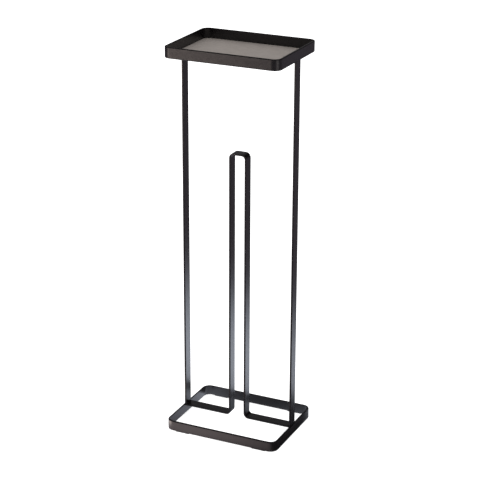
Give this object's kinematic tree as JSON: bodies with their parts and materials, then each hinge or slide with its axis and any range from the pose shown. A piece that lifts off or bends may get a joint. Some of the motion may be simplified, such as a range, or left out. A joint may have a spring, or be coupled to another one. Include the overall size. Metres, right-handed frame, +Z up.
{
  "type": "toilet paper holder",
  "caption": "Free-standing black flat-bar stand: rounded rectangular base ring, tall narrow loop that spare rolls slide over, and a shallow rimmed tray on top.",
  "frame": {"origin": "centre of the footprint, on the floor", "axes": "+X to the right along the long side, +Y to the back, +Z up"},
  "size_m": [0.19, 0.145, 0.623],
  "materials": {
    "coated_steel": "satin warm black powder coat",
    "mat": "matt warm grey, finely grained",
    "pad_rubber": "matt black"
  },
  "bodies": {
    "root": {"base_ring": "coated_steel", "left_upright": "coated_steel", "right_upright": "coated_steel", "roll_spindle": "coated_steel", "tray_rim": "coated_steel", "tray_floor": "coated_steel", "left_foot_welds": "coated_steel", "right_foot_welds": "coated_steel", "left_top_welds": "coated_steel", "right_top_welds": "coated_steel", "tray_mat": "mat", "front_left_pad": "pad_rubber", "front_right_pad": "pad_rubber", "back_left_pad": "pad_rubber", "back_right_pad": "pad_rubber"}
  },
  "joints": []
}
